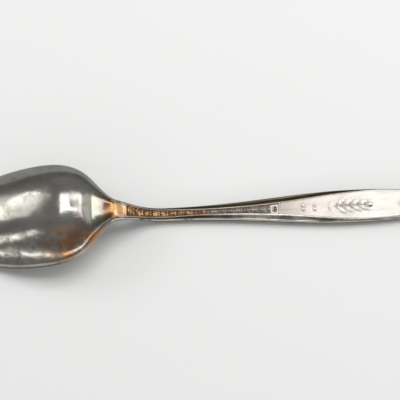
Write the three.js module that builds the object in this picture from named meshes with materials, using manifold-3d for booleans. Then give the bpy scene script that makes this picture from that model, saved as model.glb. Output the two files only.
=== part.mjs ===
// A silver-plated souvenir spoon that lies face down, as it is kept on a flat surface.
// The rounded back of the bowl and the decorated back of the handle face +Z.
// +X runs from the tip of the bowl to the end of the handle, and Y runs across the spoon.
// The origin is on the surface that the spoon lies on, under the middle of its length.
// Millimetres.

import * as THREE from 'three';
import Module from 'manifold-3d';
import { LoftGeometry } from 'three/addons/geometries/LoftGeometry.js';
import { mergeVertices } from 'three/addons/utils/BufferGeometryUtils.js';

const wasm = await Module();
wasm.setup();

// ---------------------------------------------------------------- driving dimensions

const BOWL_LENGTH = 51.5; // tip to the joint with the neck
const BOWL_WIDTH = 31.2;
const BOWL_WIDEST = 31.0; // distance of the widest place from the tip
const BOWL_CREST = 32.5; // distance of the deepest place from the tip
const BOWL_DEPTH = 6.8; // crown of the back above the rim's outer edge
const CREST_BLEND = 10.0; // length on each side of the crest where tip and heel curves blend
const TIP_FULLNESS = 0.8; // of the back towards the tip: 1 is a parabola, lower is fuller
const HEEL_FULLNESS = 1.0;
const SHOULDER_FULLNESS = 2.3; // of the outline there: 2 is an ellipse, higher is squarer
const BOWL_WALL = 1.2;
const RIM_LAND = 1.1; // flat width of the rim
const RIM_RISE = 9.4; // height of the rim at the neck, with its tip on the surface
const RIM_FLAT = 4.0; // length at the tip that lies on the surface
const RIM_LEVEL = 5.5; // length before the neck over which the rim is level
const SHOULDER_REACH = 6.5; // from the joint back to where the round shoulder turns into the neck
const HEEL_MARGIN = 1.0; // from the joint back to where the round of the back runs out
const HEEL_INSET = 2.5; // the hollow's egg would end this far before the joint

const NECK_LENGTH = 4.0;
const NECK_JOINT_WIDTH = 8.0; // across the joint between bowl and neck
const JOINT_SLOPE = -0.75; // how fast half the width changes there
const ROOT_SLOPE = -0.2; // and at the joint between neck and stem
const NECK_CROWN = 1.9; // ridge of the neck above its edges, at the bowl

const STEM_LENGTH = 46.5;
const STEM_WIDTH = 3.95; // at the narrowest place
const STEM_NARROWEST = 13.5; // distance of the narrowest place from the neck
const STEM_DROP = 14.0; // length over which the stem sweeps down from the neck
const DROP_POWER = 2.9; // of that sweep: higher falls sooner
const STEM_ROOT_FLARE = 1.35; // how much wider the stem is at the neck than at its narrowest

const BLADE_LENGTH = 49.0;
const BLADE_WIDTH = 10.0;
const BLADE_WIDEST = 21.0; // distance of the widest place from the stem
const SWELL_POWER = 1.12; // above 1 the handle stays narrow longer before it swells
const BLADE_END_FULLNESS = 2.4; // 2 is an elliptical end, higher is blunter

const HANDLE_EDGE = 1.1; // height of the handle's side face
const FRONT_CROWN = 1.4; // how far the front bulges below the side face
const FRONT_LAND_SHARE = 0.45; // share of the width that lies flat
const BEVEL_RISE = 0.55;
const BEVEL_AT_NECK = 0.45; // width of the bevel along the edge of the handle
const BEVEL_AT_BLADE = 1.95;
const BEVEL_AT_END = 0.45;
const BEVEL_FADE = 32.0; // length on the blade over which the bevel narrows to that

const WIRE_WIDTH = 0.22; // raised border line on the ridge beside the bevel
const WIRE_HEIGHT = 0.12;
const WIRE_END = 25.0; // where the borders stop on the blade
const RIDGE_LAND = 0.25; // width of the ridge between the bevel and the channel

const CHANNEL_DEPTH = 0.4;
const CHANNEL_START = 0.5; // distance from the neck
const CHANNEL_END_WALL = 0.6; // metal left between the channel and the blade
const BAND_BASE = 0.18; // thickness of the ornament band's ground
const BAND_RELIEF = 0.3; // height of the ornament above that ground
const BAND_BEADS = 17;
const BEAD_SHARE = 0.88; // share of the channel's width that a bead takes
const SCROLL_MARGIN = 0.45; // between the scroll and the side of the channel
const SCROLL_WIRE = 0.34;
const SCROLL_OPENING = 0.7; // half the angle that the curl leaves open, in radians
const SCROLL_ROOM = 0.5; // between the band and the scroll

// Single leaves: distance of the middle from the stem, and size.
const LEAF_NEAR_STEM = { place: 6.8, length: 2.2, width: 2.4 };
const LEAF_NEXT = { place: 10.2, length: 2.0, width: 2.6 };
const END_LEAF = { place: 37.0, length: 3.6, width: 1.7 };
const LEAF_HEIGHT = 0.2;
const CRESCENT_RADIUS = 2.4;
const CRESCENT_WIDTH = 0.45;
const CRESCENT_SWEEP = 0.75; // half its angle, in radians
const CRESCENT_PLACE = 14.2; // distance from the stem
const SPRAY_PLACE = 16.0; // distance from the stem
const SPRAY_LENGTH = 11.5;
const SPRAY_MARGIN = 0.6; // between the spray's leaves and the ridge
const SPRAY_PAIRS = 4;
const SPRAY_LEAF_WIDTH = 1.15;
const SPRAY_STALK_WIDTH = 0.8;
const SPRAY_BUD = { length: 1.9, width: 1.7 };

const SOLDER_GAP = 0.05; // between pieces that are soldered together
const STEP = 1.5; // distance between sections along the spoon

// ---------------------------------------------------------------- places along the spoon

const NECK_START = BOWL_LENGTH;
const STEM_START = NECK_START + NECK_LENGTH;
const BLADE_START = STEM_START + STEM_LENGTH;
const SPOON_LENGTH = BLADE_START + BLADE_LENGTH;
const WAIST = STEM_START + STEM_NARROWEST;
const WIDEST = BLADE_START + BLADE_WIDEST;
const SHOULDER = BOWL_LENGTH - SHOULDER_REACH;
const EDGE_TOP = HANDLE_EDGE + FRONT_CROWN; // top of the side face where the handle lies flat

// ---------------------------------------------------------------- curves

const mix = (a, b, t) => a + (b - a) * t;
const clamp01 = (t) => Math.min(1, Math.max(0, t));
const ease = (t) => clamp01(t) ** 2 * (3 - 2 * clamp01(t));

// Cubic between two places with a given value and slope at each.
function cubic(x, [x0, y0, m0], [x1, y1, m1]) {
  const d = x1 - x0;
  const t = clamp01((x - x0) / d);
  const h = t * t * (3 - 2 * t);
  return y0 * (1 - h) + y1 * h + d * (m0 * t * (1 - t) ** 2 - m1 * t * t * (1 - t));
}

// Rounded crown of a section: 1 on the middle line, 0 at the edge, steepest at the edge.
const crown = (v) => 1 - 0.7 * v ** 2 - 0.3 * v ** 4;

// Half the bowl's width where its outline is an egg. A land narrows the egg all round.
const shoulderLength = BOWL_LENGTH - BOWL_WIDEST - HEEL_INSET;
function eggHalf(s, land = 0) {
  const toHeel = s > BOWL_WIDEST;
  const reach = (toHeel ? shoulderLength : BOWL_WIDEST) - land;
  const power = toHeel ? SHOULDER_FULLNESS : 2;
  const t = Math.min(1, Math.abs(s - BOWL_WIDEST) / reach);
  return (BOWL_WIDTH / 2 - land) * (1 - t ** power) ** (1 / power);
}
const eggSlope = (eggHalf(SHOULDER) - eggHalf(SHOULDER - 0.1)) / 0.1;

// Half the spoon's width at a distance from the bowl's tip.
function halfWidth(s) {
  if (s <= SHOULDER) return eggHalf(s);
  const joint = [NECK_START, NECK_JOINT_WIDTH / 2, JOINT_SLOPE];
  if (s <= NECK_START) return cubic(s, [SHOULDER, eggHalf(SHOULDER), eggSlope], joint);
  const stemRoot = [STEM_START, (STEM_WIDTH + STEM_ROOT_FLARE) / 2, ROOT_SLOPE];
  if (s <= STEM_START) return cubic(s, joint, stemRoot);
  if (s <= WAIST) return cubic(s, stemRoot, [WAIST, STEM_WIDTH / 2, 0]);
  if (s <= WIDEST) {
    const swell = ((s - WAIST) / (WIDEST - WAIST)) ** SWELL_POWER;
    return mix(STEM_WIDTH, BLADE_WIDTH, ease(swell)) / 2;
  }
  const t = Math.min(1, (s - WIDEST) / (SPOON_LENGTH - WIDEST));
  return BLADE_WIDTH / 2 * (1 - t ** BLADE_END_FULLNESS) ** (1 / BLADE_END_FULLNESS);
}

// Height of the rim, which lies flat at the tip, rises, and levels out before the neck.
const rimHeight = (s) => RIM_RISE * ease((s - RIM_FLAT) / (BOWL_LENGTH - RIM_LEVEL - RIM_FLAT));

// Height of the top of the side face along neck and handle.
function edgeHeight(s) {
  const t = clamp01((s - NECK_START) / (NECK_LENGTH + STEM_DROP));
  return mix(EDGE_TOP, RIM_RISE + BOWL_WALL, (1 - t) ** DROP_POWER * (1 + DROP_POWER * t));
}

// Height of the bowl's back along its middle line, above the edge of the rim.
function domeHeight(s, land = 0) {
  const heelShare = ease((s - BOWL_CREST + CREST_BLEND) / (2 * CREST_BLEND));
  const toHeel = BOWL_LENGTH - BOWL_CREST - HEEL_MARGIN;
  const reach = mix(BOWL_CREST, toHeel, heelShare) - land;
  const t = Math.min(1, Math.abs(s - BOWL_CREST) / reach);
  return BOWL_DEPTH * (1 - t ** 2) ** mix(TIP_FULLNESS, HEEL_FULLNESS, heelShare);
}

// The same with the ridge that runs from the bowl into the neck.
function backCrown(s) {
  const ridgeLength = NECK_START - SHOULDER_REACH / 2 - BOWL_WIDEST;
  const ridge = NECK_CROWN * ease((s - BOWL_WIDEST) / ridgeLength);
  return Math.hypot(domeHeight(s), ridge);
}

const bevelWidth = (s) => (s < BLADE_START
  ? mix(BEVEL_AT_NECK, BEVEL_AT_BLADE, ease((s - STEM_START) / STEM_LENGTH))
  : mix(BEVEL_AT_BLADE, BEVEL_AT_END, ease((s - BLADE_START) / BEVEL_FADE)));

// The flat field of the back is what the bevels leave, and it narrows away at the rounded end.
const fieldHalf = (s) => halfWidth(s) - Math.min(bevelWidth(s), 0.6 * halfWidth(s));
const bevelRise = (s) => BEVEL_RISE * Math.min(1, halfWidth(s) / (STEM_WIDTH / 2));
const fieldHeight = (s) => edgeHeight(s) + bevelRise(s);
const channelHalf = (s) => fieldHalf(s) - RIDGE_LAND;

// ---------------------------------------------------------------- solids

const point = (x, y, z) => new THREE.Vector3(x, y, z);

function stations(from, to, step = STEP) {
  const count = Math.max(1, Math.round((to - from) / step));
  return Array.from({ length: count + 1 }, (_, i) => mix(from, to, i / count));
}

// Stations that crowd together towards an end where the outline turns round.
function roundedStations(from, to, count) {
  const spread = (i) => 1 - Math.cos(i / count * Math.PI / 2);
  return Array.from({ length: count + 1 }, (_, i) => mix(from, to, spread(i)));
}

// Skin through closed sections, each a list of [y, z] points in a plane across the spoon.
function loft(places, section) {
  const rings = places.map((s) => {
    const outline = section(s).map(([y, z]) => new THREE.Vector2(y, z));
    if (THREE.ShapeUtils.isClockWise(outline)) outline.reverse();
    return outline.map(({ x: y, y: z }) => point(s, y, z));
  });
  return mergeable(new LoftGeometry(rings, { capStart: true, capEnd: true }));
}

// A plain copy with only positions, and with shared vertices merged.
function mergeable(geometry) {
  const plain = new THREE.BufferGeometry().copy(geometry);
  plain.deleteAttribute('normal');
  plain.deleteAttribute('uv');
  return mergeVertices(plain, 1e-4);
}

function toManifold(geometry) {
  return new wasm.Manifold(new wasm.Mesh({
    numProp: 3,
    vertProperties: Float32Array.from(geometry.getAttribute('position').array),
    triVerts: Uint32Array.from(geometry.getIndex().array),
  }));
}

function toGeometry(manifold) {
  const { vertProperties, triVerts } = manifold.getMesh();
  const geometry = new THREE.BufferGeometry();
  geometry.setAttribute('position', new THREE.BufferAttribute(Float32Array.from(vertProperties), 3));
  geometry.setIndex(Array.from(triVerts));
  return geometry;
}

const cut = (body, tool) => toGeometry(toManifold(body).subtract(toManifold(tool)));
const join = (parts) => toGeometry(parts.map(toManifold).reduce((a, b) => a.add(b)));

// ---------------------------------------------------------------- bowl and neck

// Places across the spoon from -1 to 1, crowded together at the edges.
function across(count) {
  return Array.from({ length: count + 1 }, (_, i) => -Math.cos(i / count * Math.PI));
}

// Section of the bowl's outside: rounded back over a flat underside at the rim's height.
function bowlOutside(s) {
  const half = Math.max(halfWidth(s), 0.4);
  const rim = rimHeight(s);
  const back = across(20).map((v) => [v * half, rim + BOWL_WALL + backCrown(s) * crown(v)]);
  return [[half, rim], [-half, rim], ...back];
}

// Section of the hollow, which runs out through the open face of the bowl. It is an egg
// inside the bowl's egg, so the rim is a flat land all the way round.
function bowlInside(s) {
  const half = Math.max(eggHalf(s, RIM_LAND), 0.2);
  const rim = rimHeight(s);
  const open = rim - 2;
  const back = across(16).map((v) => [v * half, rim + domeHeight(s, RIM_LAND) * crown(v)]);
  return [[half, open], [-half, open], ...back];
}

function bowlGeometry() {
  const tipSide = roundedStations(0, BOWL_WIDEST, 16);
  const neckSide = stations(BOWL_WIDEST, BOWL_LENGTH - SOLDER_GAP);
  const outside = loft([...tipSide, ...neckSide.slice(1)], bowlOutside);
  const hollowTip = roundedStations(RIM_LAND, BOWL_WIDEST, 14);
  const hollowEnd = BOWL_WIDEST + shoulderLength - RIM_LAND;
  const hollowHeel = roundedStations(hollowEnd, BOWL_WIDEST, 12).reverse();
  const inside = loft([...hollowTip, ...hollowHeel.slice(1)], bowlInside);
  return cut(outside, inside);
}

// Height of the handle's back above its edge: a flat field between two rounded bevels.
function handleBack(s, y) {
  const field = fieldHalf(s);
  const bevel = Math.max(halfWidth(s) - field, 0.01);
  return bevelRise(s) * (1 - clamp01((Math.abs(y) - field) / bevel) ** 2);
}

// The neck is solid: its crown runs out into the bevels and flat field of the stem.
function neckSection(s) {
  const t = (s - NECK_START) / NECK_LENGTH;
  const half = halfWidth(s);
  const top = edgeHeight(s);
  const turned = 0.95 * ease(t);
  const rise = (v) => mix(NECK_CROWN * crown(v), handleBack(s, v * half), turned);
  const under = top - mix(BOWL_WALL, HANDLE_EDGE, t);
  const belly = FRONT_CROWN * mix(0.05, 1, ease(t));
  const back = across(12).map((v) => [v * half, top + rise(v)]);
  const land = FRONT_LAND_SHARE * half;
  const front = [[land, under - belly], [-land, under - belly]];
  return [[half, under], ...front, [-half, under], ...back];
}

const neckGeometry = () => loft(stations(NECK_START, STEM_START - SOLDER_GAP, 0.75), neckSection);

// ---------------------------------------------------------------- stem and blade

// Section of the handle: crowned front below, side faces, rounded bevels and a flat field on the back.
function handleSection(s) {
  const half = Math.max(halfWidth(s), 0.5);
  const top = edgeHeight(s);
  const under = top - HANDLE_EDGE;
  const field = Math.max(fieldHalf(s), 0.2);
  const belly = FRONT_CROWN * Math.min(1, half / (STEM_WIDTH / 2));
  const onBevel = mix(field, half, 0.62);
  const right = [
    [half * FRONT_LAND_SHARE, under - belly],
    [half * 0.85, under - belly * 0.45],
    [half, under],
    [half, top],
    [onBevel, top + handleBack(s, onBevel)],
    [field, fieldHeight(s)],
  ];
  const left = right.map(([y, z]) => [-y, z]).reverse();
  return [...right, ...left];
}

// Section of the channel's cutter, which is open upwards.
function channelSection(s) {
  const half = channelHalf(s);
  const floor = fieldHeight(s) - CHANNEL_DEPTH;
  return [[half, floor], [half, floor + 2], [-half, floor + 2], [-half, floor]];
}

const channelFrom = STEM_START + CHANNEL_START;
const channelTo = BLADE_START - CHANNEL_END_WALL;

function stemGeometry() {
  const body = loft(stations(STEM_START, BLADE_START - SOLDER_GAP), handleSection);
  const channel = loft(stations(channelFrom, channelTo), channelSection);
  return cut(body, channel);
}

function bladeGeometry() {
  const straight = stations(BLADE_START, WIDEST);
  const rounded = roundedStations(SPOON_LENGTH, WIDEST, 16).reverse();
  return loft([...straight, ...rounded.slice(1)], handleSection);
}

// ---------------------------------------------------------------- border wires

// Half-round wire along the ridge between the bevel and the field, on one side.
function wireGeometry(side) {
  const section = (s) => {
    const middle = side * (fieldHalf(s) - RIDGE_LAND / 2);
    const foot = fieldHeight(s) + SOLDER_GAP;
    const half = WIRE_WIDTH / 2;
    return [
      [middle - half, foot],
      [middle + half, foot],
      [middle + half * 0.6, foot + WIRE_HEIGHT * 0.8],
      [middle, foot + WIRE_HEIGHT],
      [middle - half * 0.6, foot + WIRE_HEIGHT * 0.8],
    ];
  };
  return loft(stations(STEM_START + SOLDER_GAP, BLADE_START + WIRE_END), section);
}

// ---------------------------------------------------------------- ornament

// A dome on a flat foot, one unit high, with a round foot of one unit radius.
function domeGeometry(sides, rings) {
  const profile = [new THREE.Vector2(0, 0)];
  for (let i = 0; i <= rings; i++) {
    const a = i / rings * Math.PI / 2;
    profile.push(new THREE.Vector2(Math.cos(a), Math.sin(a)));
  }
  profile[profile.length - 1].x = 0;
  return mergeable(new THREE.LatheGeometry(profile, sides).rotateX(Math.PI / 2));
}

const leafDome = domeGeometry(16, 4);
const beadDome = domeGeometry(10, 3);

// A dome stretched to a length, a width and a height, and turned about Z.
function mound(dome, length, width, height, turn = 0) {
  return dome.clone().scale(length / 2, width / 2, height).rotateZ(turn);
}

const scrollRadius = channelHalf(channelTo - 2) - SCROLL_MARGIN;

// Ornament band: a strip of metal in the channel, with a row of beads between small lozenges.
function bandGeometry() {
  const from = channelFrom + SOLDER_GAP;
  const to = channelTo - 2 * scrollRadius - SCROLL_ROOM;
  const floor = (s) => fieldHeight(s) - CHANNEL_DEPTH + SOLDER_GAP;
  const strip = loft(stations(from, to), (s) => {
    const half = channelHalf(s) - SOLDER_GAP;
    const top = floor(s) + BAND_BASE;
    return [[half, floor(s)], [half, top], [-half, top], [-half, floor(s)]];
  });
  const pitch = (to - from) / (BAND_BEADS + 0.5);
  const ornaments = [];
  for (let i = 0; i < BAND_BEADS; i++) {
    const s = from + pitch * (i + 0.5);
    const width = 2 * channelHalf(s) * BEAD_SHARE;
    const tilt = Math.atan(fieldHeight(s) - fieldHeight(s + 1));
    const bead = mound(beadDome, pitch * 0.58, width, BAND_RELIEF);
    const lozenge = mound(beadDome, pitch * 0.34, width * 0.6, BAND_RELIEF * 0.7);
    lozenge.translate(pitch / 2, 0, 0);
    for (const piece of [bead, lozenge]) {
      ornaments.push(piece.rotateY(tilt).translate(s, 0, floor(s) + BAND_BASE / 2));
    }
  }
  return join([strip, ...ornaments]);
}

// Scroll at the end of the channel: a curl round a bud, on a foot of its own.
function scrollGeometry() {
  const middle = channelTo - scrollRadius - SOLDER_GAP;
  const level = fieldHeight(middle) - CHANNEL_DEPTH + SOLDER_GAP;
  const inner = scrollRadius - SCROLL_WIRE;
  const curl = new THREE.Shape();
  curl.absarc(0, 0, scrollRadius, SCROLL_OPENING, 2 * Math.PI - SCROLL_OPENING, false);
  curl.absarc(0, 0, inner, 2 * Math.PI - SCROLL_OPENING, SCROLL_OPENING, true);
  const height = { depth: BAND_BASE + BAND_RELIEF * 0.7, curveSegments: 14, bevelEnabled: false };
  const foot = new THREE.CylinderGeometry(inner * 1.05, inner * 1.05, BAND_BASE, 24).rotateX(Math.PI / 2);
  const parts = [
    mergeable(new THREE.ExtrudeGeometry(curl, height)),
    mergeable(foot.translate(0, 0, BAND_BASE / 2)),
    mound(beadDome, inner, inner, BAND_BASE + BAND_RELIEF),
  ];
  return join(parts).translate(middle, 0, level);
}

const bladeLevel = EDGE_TOP + BEVEL_RISE + SOLDER_GAP;

// A single leaf soldered flat on the blade.
function leafGeometry({ place, length, width }) {
  const leaf = mound(leafDome, length, width, LEAF_HEIGHT);
  return leaf.translate(BLADE_START + place, 0, bladeLevel);
}

// A thin crescent that stands across the blade, with its hollow side to the spray.
function crescentGeometry() {
  const shape = new THREE.Shape();
  const inner = CRESCENT_RADIUS - CRESCENT_WIDTH;
  shape.absarc(0, 0, CRESCENT_RADIUS, Math.PI - CRESCENT_SWEEP, Math.PI + CRESCENT_SWEEP, false);
  shape.absarc(0, 0, inner, Math.PI + CRESCENT_SWEEP, Math.PI - CRESCENT_SWEEP, true);
  const height = { depth: LEAF_HEIGHT * 0.6, curveSegments: 10, bevelEnabled: false };
  const solid = mergeable(new THREE.ExtrudeGeometry(shape, height));
  return solid.translate(BLADE_START + CRESCENT_PLACE + CRESCENT_RADIUS, 0, bladeLevel);
}

// Spray: a stalk along the blade with pairs of leaves and a bud at its head.
function sprayGeometry() {
  const start = BLADE_START + SPRAY_PLACE;
  const reach = fieldHalf(start) - RIDGE_LAND - SPRAY_MARGIN;
  const stalk = mound(leafDome, SPRAY_LENGTH, SPRAY_STALK_WIDTH, LEAF_HEIGHT * 0.8);
  const parts = [stalk.translate(start + SPRAY_LENGTH / 2, 0, bladeLevel)];
  for (let i = 0; i < SPRAY_PAIRS; i++) {
    const along = i / (SPRAY_PAIRS - 1);
    const turn = mix(0.85, 0.6, along);
    const tipOut = mix(1, 0.7, along) * reach;
    const length = tipOut / Math.sin(turn);
    const root = start + mix(0.1, 0.66, along) * SPRAY_LENGTH;
    for (const side of [-1, 1]) {
      const leaf = mound(leafDome, length, SPRAY_LEAF_WIDTH, LEAF_HEIGHT, side * turn);
      const middle = root + length / 2 * Math.cos(turn);
      parts.push(leaf.translate(middle, side * tipOut / 2, bladeLevel));
    }
  }
  const bud = mound(leafDome, SPRAY_BUD.length, SPRAY_BUD.width, LEAF_HEIGHT * 1.1);
  parts.push(bud.translate(start + SPRAY_LENGTH - SPRAY_BUD.length / 3, 0, bladeLevel));
  return join(parts);
}

// ---------------------------------------------------------------- finishes and assembly

function finish(color, roughness) {
  return new THREE.MeshStandardMaterial({ color, roughness, metalness: 1 });
}
const plate = () => finish(0x9c9890, 0.22);
const wornPlate = () => finish(0xc08a58, 0.3);
const stemPlate = () => finish(0x8d7f74, 0.3);
const brightPlate = () => finish(0xd8d2c6, 0.2);

const pieces = {
  bowl: [bowlGeometry(), plate()],
  neck: [neckGeometry(), wornPlate()],
  stem: [stemGeometry(), stemPlate()],
  blade: [bladeGeometry(), brightPlate()],
  border_wire_left: [wireGeometry(1), stemPlate()],
  border_wire_right: [wireGeometry(-1), stemPlate()],
  ornament_band: [bandGeometry(), wornPlate()],
  scroll: [scrollGeometry(), brightPlate()],
  leaf_near_stem: [leafGeometry(LEAF_NEAR_STEM), brightPlate()],
  leaf_next: [leafGeometry(LEAF_NEXT), brightPlate()],
  crescent: [crescentGeometry(), brightPlate()],
  spray: [sprayGeometry(), brightPlate()],
  end_leaf: [leafGeometry(END_LEAF), brightPlate()],
};

const group = new THREE.Group();
for (const [name, [geometry, material]] of Object.entries(pieces)) {
  const mesh = new THREE.Mesh(geometry, material);
  mesh.name = name;
  mesh.position.x = -SPOON_LENGTH / 2;
  group.add(mesh);
}

export default group;
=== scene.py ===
"""A worn, silver-plated souvenir spoon that lies face down on a pale surface."""

import math

import bpy
import numpy as np
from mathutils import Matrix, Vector


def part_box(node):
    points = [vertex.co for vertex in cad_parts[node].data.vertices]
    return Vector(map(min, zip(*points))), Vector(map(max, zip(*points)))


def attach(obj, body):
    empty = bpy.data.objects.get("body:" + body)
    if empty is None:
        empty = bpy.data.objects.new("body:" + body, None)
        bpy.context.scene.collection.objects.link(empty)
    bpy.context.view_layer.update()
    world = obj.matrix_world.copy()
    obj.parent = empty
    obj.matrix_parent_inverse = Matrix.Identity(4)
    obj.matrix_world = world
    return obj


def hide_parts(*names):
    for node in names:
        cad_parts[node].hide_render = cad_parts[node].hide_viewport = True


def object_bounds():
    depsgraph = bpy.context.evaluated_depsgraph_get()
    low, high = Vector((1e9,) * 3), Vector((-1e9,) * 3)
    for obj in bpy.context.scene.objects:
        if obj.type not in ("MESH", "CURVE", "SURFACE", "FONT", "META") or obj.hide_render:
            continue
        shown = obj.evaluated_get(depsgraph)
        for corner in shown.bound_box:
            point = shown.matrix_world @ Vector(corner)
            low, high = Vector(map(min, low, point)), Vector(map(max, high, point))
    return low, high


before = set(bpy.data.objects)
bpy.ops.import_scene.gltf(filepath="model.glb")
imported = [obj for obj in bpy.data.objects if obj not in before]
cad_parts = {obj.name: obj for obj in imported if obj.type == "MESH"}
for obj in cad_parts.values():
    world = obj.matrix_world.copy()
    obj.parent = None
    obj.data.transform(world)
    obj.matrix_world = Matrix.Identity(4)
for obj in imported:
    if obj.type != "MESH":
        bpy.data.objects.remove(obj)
cad_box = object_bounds()

MM = 0.001

# ------------------------------------------------------------------ sizes, in millimetres


def box_mm(node):
    return [np.array(corner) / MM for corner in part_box(node)]


# Places along the spoon are distances from the tip of the bowl.
TIP_X = cad_box[0][0] / MM
SPOON_LENGTH = cad_box[1][0] / MM - TIP_X
NECK_START = box_mm("neck")[0][0] - TIP_X
STEM_START = box_mm("stem")[0][0] - TIP_X
BLADE_START = box_mm("blade")[0][0] - TIP_X
BOWL_LENGTH = NECK_START
BOWL_WIDTH = 2 * box_mm("bowl")[1][1]
BLADE_WIDTH = 2 * box_mm("blade")[1][1]

BOWL_WIDEST = 31.0
BOWL_CREST = 32.5
CREST_BLEND = 10.0
BOWL_DEPTH = 6.8
TIP_FULLNESS = 0.8
HEEL_FULLNESS = 1.0
SHOULDER_FULLNESS = 2.3
SHOULDER_REACH = 6.5
HEEL_MARGIN = 1.0
SHOULDER = BOWL_LENGTH - SHOULDER_REACH
SHOULDER_LENGTH = BOWL_LENGTH - BOWL_WIDEST - 2.5
BOWL_WALL = 1.2
RIM_LAND = 1.1
RIM_RISE = 9.4
RIM_FLAT = 4.0
RIM_LEVEL = 5.5

NECK_LENGTH = STEM_START - NECK_START
NECK_JOINT_WIDTH = 8.0
JOINT_SLOPE = -0.75
ROOT_SLOPE = -0.2
NECK_CROWN = 1.9
STEM_WIDTH = 3.95
STEM_ROOT_FLARE = 1.35
STEM_LENGTH = BLADE_START - STEM_START
STEM_DROP = 14.0
DROP_POWER = 2.9
WAIST = STEM_START + 13.5
WIDEST = BLADE_START + 21.0
SWELL_POWER = 1.12
END_FULLNESS = 2.4

HANDLE_EDGE = 1.1
FRONT_CROWN = 1.4
FRONT_LAND = 0.45
EDGE_TOP = HANDLE_EDGE + FRONT_CROWN
BEVEL_RISE = 0.55
BEVEL_AT_NECK = 0.45
BEVEL_AT_BLADE = 1.95
BEVEL_AT_END = 0.45
BEVEL_FADE = 32.0
RIDGE_LAND = 0.25
CHANNEL_DEPTH = 0.4
CHANNEL_START = STEM_START + 0.5
CHANNEL_END = BLADE_START - 0.6
CHANNEL_CORNER = 0.45

# The back runs from the bowl's dome over a saddle into the neck.
DOME_END_PLACE = BOWL_LENGTH - 9.2
SADDLE_PLACE = BOWL_LENGTH - 5.0
SADDLE_CROWN = 3.0
SADDLE_SLOPE = -0.27
NECK_ENTRY_SLOPE = -0.1
LEVELLING = 5.0  # length before the saddle over which the crown across levels out

# The bevel falls by this share of its rise, over this share of its width, and then runs level.
BEVEL_FALL = 0.7
BEVEL_SLOPING = 0.8

WIRE_HALF = 0.11
WIRE_HEIGHT = 0.12
WIRE_TAPER = 6.0
BAND_GROUND = 0.18
BAND_RELIEF = 0.3
BAND_BEADS = 17
ROUND_BEADS = 10  # beads from the neck on; square tablets follow
SPRAY_PAIRS = 4
SUNK = 0.03  # how far the relief's feet reach below the CAD pieces' feet

# The fine pieces round off the edges that the CAD pieces leave square.
RIM_ROUND = (0.8, 0.9)  # width and drop of the rounding along the rim
EDGE_ROUND = (0.3, 0.6)  # and along the handle


# ------------------------------------------------------------------ curves of the spoon

def mix(a, b, t):
    return a + (b - a) * t


def clamp01(t):
    return np.clip(t, 0.0, 1.0)


def ease(t):
    t = clamp01(t)
    return t * t * (3 - 2 * t)


def cubic(x, start, end):
    """Cubic between two (place, value, slope) ends."""
    (x0, y0, m0), (x1, y1, m1) = start, end
    d = x1 - x0
    t = clamp01((x - x0) / d)
    h = t * t * (3 - 2 * t)
    return y0 * (1 - h) + y1 * h + d * (m0 * t * (1 - t) ** 2 - m1 * t * t * (1 - t))


def crown(v, flat=0.0):
    """Rounded crown of a section: 1 on the middle line, 0 at the edge. Flat levels its middle."""
    bend = mix(0.7, 0.25, flat)
    return 1 - bend * v ** 2 - (1 - bend) * v ** 4


def egg_half(s, land=0.0):
    """Half the bowl's width where its outline is an egg. A land narrows the egg all round."""
    to_heel = s > BOWL_WIDEST
    reach = (SHOULDER_LENGTH if to_heel else BOWL_WIDEST) - land
    power = SHOULDER_FULLNESS if to_heel else 2
    t = min(1, abs(s - BOWL_WIDEST) / reach)
    return (BOWL_WIDTH / 2 - land) * (1 - t ** power) ** (1 / power)


EGG_SLOPE = (egg_half(SHOULDER) - egg_half(SHOULDER - 0.1)) / 0.1
JOINT = (NECK_START, NECK_JOINT_WIDTH / 2, JOINT_SLOPE)
STEM_ROOT = (STEM_START, (STEM_WIDTH + STEM_ROOT_FLARE) / 2, ROOT_SLOPE)


def half_width(s):
    """Half the spoon's width at a distance from the tip of the bowl."""
    if s <= SHOULDER:
        return egg_half(s)
    if s <= NECK_START:
        return cubic(s, (SHOULDER, egg_half(SHOULDER), EGG_SLOPE), JOINT)
    if s <= STEM_START:
        return cubic(s, JOINT, STEM_ROOT)
    if s <= WAIST:
        return cubic(s, STEM_ROOT, (WAIST, STEM_WIDTH / 2, 0))
    if s <= WIDEST:
        swell = ((s - WAIST) / (WIDEST - WAIST)) ** SWELL_POWER
        return mix(STEM_WIDTH, BLADE_WIDTH, ease(swell)) / 2
    t = min(1, (s - WIDEST) / (SPOON_LENGTH - WIDEST))
    return BLADE_WIDTH / 2 * (1 - t ** END_FULLNESS) ** (1 / END_FULLNESS)


def outline_slope(s):
    near, far = max(s - 0.01, 0), min(s + 0.01, SPOON_LENGTH)
    return (half_width(far) - half_width(near)) / (far - near)


def rim_height(s):
    return RIM_RISE * ease((s - RIM_FLAT) / (BOWL_LENGTH - RIM_LEVEL - RIM_FLAT))


def edge_height(s):
    t = clamp01((s - NECK_START) / (NECK_LENGTH + STEM_DROP))
    share = (1 - t) ** DROP_POWER * (1 + DROP_POWER * t)
    return mix(EDGE_TOP, RIM_RISE + BOWL_WALL, share)


def dome_height(s, land=0.0):
    """Height of the bowl's back along its middle line, above the edge of the rim."""
    heel_share = ease((s - BOWL_CREST + CREST_BLEND) / (2 * CREST_BLEND))
    to_heel = BOWL_LENGTH - BOWL_CREST - HEEL_MARGIN
    reach = mix(BOWL_CREST, to_heel, heel_share) - land
    t = min(1, abs(s - BOWL_CREST) / reach)
    return BOWL_DEPTH * (1 - t ** 2) ** mix(TIP_FULLNESS, HEEL_FULLNESS, heel_share)


def domed_crown(s):
    """Crown of the dome with the ridge that runs from it into the neck."""
    ridge_length = NECK_START - SHOULDER_REACH / 2 - BOWL_WIDEST
    return math.hypot(dome_height(s), NECK_CROWN * ease((s - BOWL_WIDEST) / ridge_length))


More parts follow.
